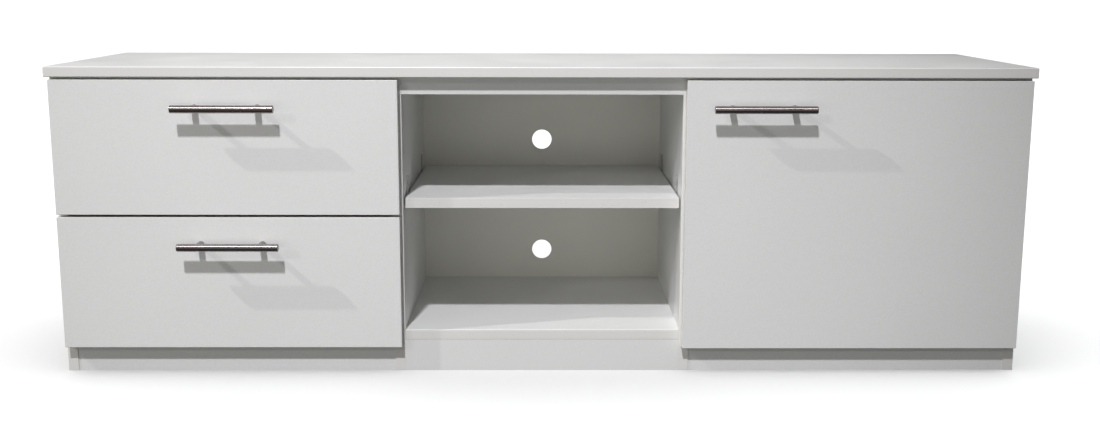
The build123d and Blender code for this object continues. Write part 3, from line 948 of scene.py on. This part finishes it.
def add_rib(shape, start, side, dish, inner, outer, spoke):
    """A flat rib in a roller's dish, from its hub to its rim.

    It stands a quarter of the dish below the face, and sinks a little into the web.
    """
    low = Vector((side + dish * 0.25, -RIB_HALF_WIDTH, inner))
    high = Vector((side + dish * 1.02, RIB_HALF_WIDTH, outer))
    if side:
        low.x, high.x = side - dish * 0.02, side + dish * 0.75
    before = len(shape.verts)
    add_box(shape, low, high)
    shape.verts.ensure_lookup_table()
    spin = Matrix.Rotation(2 * math.pi / RIBS * spoke, 3, "X")
    for corner in shape.verts[before:]:
        corner.co = start + spin @ corner.co


def buffers(node, toward):
    """Small stick-on domes; toward points away from the front."""
    shape = bmesh.new()
    for low, high in solids(node):
        radius, height = (high.x - low.x) / 2, high.y - low.y
        start = Vector(((low.x + high.x) / 2, low.y, (low.z + high.z) / 2))
        profile = [(0.0, radius * 0.97), (height * 0.08, radius)]
        for i in range(DOME_PARTS):
            angle = i / DOME_PARTS * math.pi / 2
            rise, spread = math.sin(angle), math.cos(angle)
            profile.append((height * (0.12 + 0.88 * rise), radius * 0.99 * spread))
        close_ends(shape, lathe(shape, start, toward, profile, MEDIUM))
    return finish_piece(f"{node}_domes", shape, node, [RUBBER])


for level in ("upper", "lower"):
    rollers(f"{level}_front_rollers")
    rollers(f"{level}_rear_rollers")
    buffers(f"{level}_drawer_buffers", BACK)
buffers("door_buffers", BACK)

# ---------------------------------------------------------------- stage and light

FLOOR_HALF_WIDTH = 120.0


def floor_material():
    look = Shader("pale_floor")
    tone = look.ramp(look.noise(0.8, 2.0), (0.3, grey(0.885)), (0.7, grey(0.9)))
    return look.finish(Base_Color=tone, Roughness=0.9, Specular_IOR_Level=0.0)


def make_floor():
    """A wide pale floor, which takes the cabinet's shadow and lights nothing itself."""
    half = FLOOR_HALF_WIDTH
    mesh = bpy.data.meshes.new("floor")
    corners = [(-half, -half, 0), (half, -half, 0), (half, half, 0), (-half, half, 0)]
    mesh.from_pydata(corners, [], [(0, 1, 2, 3)])
    mesh.materials.append(floor_material())
    made = bpy.data.objects.new("floor", mesh)
    bpy.context.scene.collection.objects.link(made)
    made.visible_diffuse = False
    made.visible_glossy = False
    return made


floor = make_floor()

# The floor has its own light, and the other lamps leave it out
everything_else = bpy.data.collections.new("not_the_floor")
everything_else.objects.link(floor)
everything_else.collection_objects[0].light_linking.link_state = "EXCLUDE"
floor_only = bpy.data.collections.new("floor_only")
floor_only.objects.link(floor)


def lamp(name, kind, place, aim, energy, colour, receivers, **settings):
    """A lamp at a place, aimed at a point, that lights what its receivers' collection lets it."""
    data = bpy.data.lights.new(name, kind)
    data.energy = energy
    data.color = colour
    for key, value in settings.items():
        setattr(data, key, value)
    made = bpy.data.objects.new(name, data)
    bpy.context.scene.collection.objects.link(made)
    made.location = place
    made.rotation_mode = "QUATERNION"
    made.rotation_quaternion = (Vector(aim) - Vector(place)).to_track_quat("-Z", "Y")
    made.light_linking.receiver_collection = receivers
    return made


KEY_PLACE = (-0.9, -5.0, 6.3)
MIDDLE = (0, 0, 0.3)
PURE_WHITE, WARM_WHITE, CREAM = (1.0, 1.0, 1.0), (1.0, 0.99, 0.97), (1.0, 0.985, 0.92)

# The main light is high in front, a little to the left, and throws the shadows below the handles
lamp(
    "key",
    "SPOT",
    KEY_PLACE,
    (-0.13, -0.15, 0.27),
    1830.0,
    (0.968, 0.968, 1.0),
    everything_else,
    shadow_soft_size=0.2,
    spot_size=math.radians(19.0),
    spot_blend=1.0,
)
# A small light on the left throws the faint shadows that run down to the right
lamp(
    "upper_left",
    "POINT",
    (-3.8, -1.25, 3.3),
    MIDDLE,
    300.0,
    WARM_WHITE,
    everything_else,
    shadow_soft_size=0.035,
)
# A weak light comes from the front, low on the left
lamp(
    "low_left",
    "SUN",
    (-2.5, -3.0, 2.0),
    MIDDLE,
    0.25,
    WARM_WHITE,
    everything_else,
    angle=math.radians(1.5),
)
# Wide soft lights brighten the open bay from the front and the top from above
for name, place, aim, power, wide, high in (
    ("fill", (-0.6, -1.9, 0.25), (-0.6, -0.19, 0.3), 4.9, 3.0, 0.5),
    ("above", (-0.03, 0.05, 1.6), (-0.03, 0.005, 0.3), 2.75, 0.6, 0.6),
):
    soft = lamp(
        name,
        "AREA",
        place,
        aim,
        power,
        CREAM,
        everything_else,
        shape="RECTANGLE",
        size=wide,
        size_y=high,
    )
    soft.visible_glossy = False
    soft.visible_camera = False
# A broad light from behind on the right lifts the top and the right-hand end
behind = lamp(
    "behind_right",
    "SUN",
    (7.0, 6.0, 1.9),
    MIDDLE,
    1.1,
    PURE_WHITE,
    everything_else,
    angle=math.radians(70),
)
behind.visible_glossy = False

# A wide soft light that only the handles mirror
handles_only = bpy.data.collections.new("handles_only")
for piece in bpy.data.objects:
    if piece.type == "MESH" and "handle" in piece.name:
        handles_only.objects.link(piece)
softbox = lamp(
    "handle_softbox",
    "AREA",
    KEY_PLACE,
    (-0.1, -0.2, 0.35),
    235.0,
    (1.0, 0.97, 0.98),
    handles_only,
    shape="RECTANGLE",
    size=9.0,
    size_y=1.2,
)
softbox.visible_diffuse = False
softbox.visible_camera = False
lamp(
    "floor_light",
    "SUN",
    (0, -1.0, 6.0),
    (0, 0, 0),
    3.5,
    PURE_WHITE,
    floor_only,
    angle=math.radians(110),
)

# Strength of the room: all round, and straight in front of the cabinet
ROOM_LIGHT = (0.05, 0.85)
FRONT_FOCUS = 40.0
CEILING_LIGHT = 0.5
CEILING_FOCUS = 4.0
# Both left to right and low to high, the room's light is multiplied by these at its two ends
FALLOFF = (1.5, 0.5)
WARM_LEFT, COOL_RIGHT = (1.0, 0.985, 0.93), (0.86, 0.91, 1.0)
MIRRORED_ROOM = 0.8


def make_world():
    """Soft room light, strongest from the front, warm on the left and cool on the right.

    The camera sees plain white, and reflections see a dimmer room.
    """
    world = bpy.data.worlds.new("studio")
    bpy.context.scene.world = world
    world.use_nodes = True
    tree = world.node_tree
    tree.nodes.clear()

    def add(kind, **settings):
        return add_node(tree, kind, **settings)

    def scaled(source, start, end, low, high):
        node = add("ShaderNodeMapRange")
        tree.links.new(source, node.inputs["Value"])
        set_range(node, start, end, low, high)
        return node.outputs["Result"]

    def raised(source, exponent):
        node = add("ShaderNodeMath", operation="POWER")
        tree.links.new(source, node.inputs[0])
        node.inputs[1].default_value = exponent
        return node.outputs[0]

    def times(first, second):
        node = add("ShaderNodeMath", operation="MULTIPLY")
        tree.links.new(first, node.inputs[0])
        tree.links.new(second, node.inputs[1])
        return node.outputs[0]

    direction = add("ShaderNodeSeparateXYZ")
    tree.links.new(add("ShaderNodeTexCoord").outputs["Generated"], direction.inputs["Vector"])
    tint = add("ShaderNodeValToRGB")
    tint.color_ramp.elements[0].color = (*WARM_LEFT, 1)
    tint.color_ramp.elements[1].color = (*COOL_RIGHT, 1)
    tree.links.new(scaled(direction.outputs["X"], -1, 1, 0, 1), tint.inputs["Fac"])
    ahead = raised(scaled(direction.outputs["Y"], 0, -1, 0, 1), FRONT_FOCUS)
    strength = scaled(ahead, 0, 1, *ROOM_LIGHT)
    strength = times(strength, scaled(direction.outputs["X"], -1, 1, *FALLOFF))
    strength = times(strength, scaled(direction.outputs["Z"], -1, 1, *FALLOFF))
    overhead = raised(scaled(direction.outputs["Z"], 0, 1, 0, 1), CEILING_FOCUS)
    ceiling = add("ShaderNodeMath", operation="MULTIPLY_ADD")
    tree.links.new(overhead, ceiling.inputs[0])
    ceiling.inputs[1].default_value = CEILING_LIGHT
    tree.links.new(strength, ceiling.inputs[2])
    strength = ceiling.outputs[0]
    path = add("ShaderNodeLightPath")
    strength = times(strength, scaled(path.outputs["Is Glossy Ray"], 0, 1, 1, MIRRORED_ROOM))
    room = add("ShaderNodeBackground")
    tree.links.new(tint.outputs["Color"], room.inputs["Color"])
    tree.links.new(strength, room.inputs["Strength"])
    seen = add("ShaderNodeBackground")
    seen.inputs["Color"].default_value = (1, 1, 1, 1)
    pick = add("ShaderNodeMixShader")
    tree.links.new(path.outputs["Is Camera Ray"], pick.inputs["Fac"])
    tree.links.new(room.outputs["Background"], pick.inputs[1])
    tree.links.new(seen.outputs["Background"], pick.inputs[2])
    tree.links.new(pick.outputs["Shader"], add("ShaderNodeOutputWorld").inputs["Surface"])


make_world()

# ---------------------------------------------------------------- camera

CAMERA_PLACE = Vector((-0.0055, -2.1352, 0.6111))
CAMERA_YAW = math.radians(0.51)
CAMERA_PITCH = math.radians(10.475)
CAMERA_ROLL = math.radians(0.13)
# Both in millimetres, as Blender takes them
SENSOR_WIDTH, FOCAL_LENGTH = 36.0, 41.75345


def make_camera():
    """The photo's camera; yaw is to the right, pitch is down, and roll turns it about its view."""
    data = bpy.data.cameras.new("camera")
    data.sensor_width = SENSOR_WIDTH
    data.lens = FOCAL_LENGTH
    data.clip_start, data.clip_end = 0.05, 400.0
    made = bpy.data.objects.new("camera", data)
    bpy.context.scene.collection.objects.link(made)
    forward = Vector(
        (
            math.sin(CAMERA_YAW) * math.cos(CAMERA_PITCH),
            math.cos(CAMERA_YAW) * math.cos(CAMERA_PITCH),
            -math.sin(CAMERA_PITCH),
        )
    )
    level = Vector((math.cos(CAMERA_YAW), -math.sin(CAMERA_YAW), 0))
    upright = level.cross(forward)
    right = level * math.cos(CAMERA_ROLL) + upright * math.sin(CAMERA_ROLL)
    up = upright * math.cos(CAMERA_ROLL) - level * math.sin(CAMERA_ROLL)
    turn = Matrix((right, up, -forward)).transposed().to_4x4()
    made.matrix_world = Matrix.Translation(CAMERA_PLACE) @ turn
    bpy.context.scene.camera = made


make_camera()
bpy.context.scene.view_settings.view_transform = "Standard"
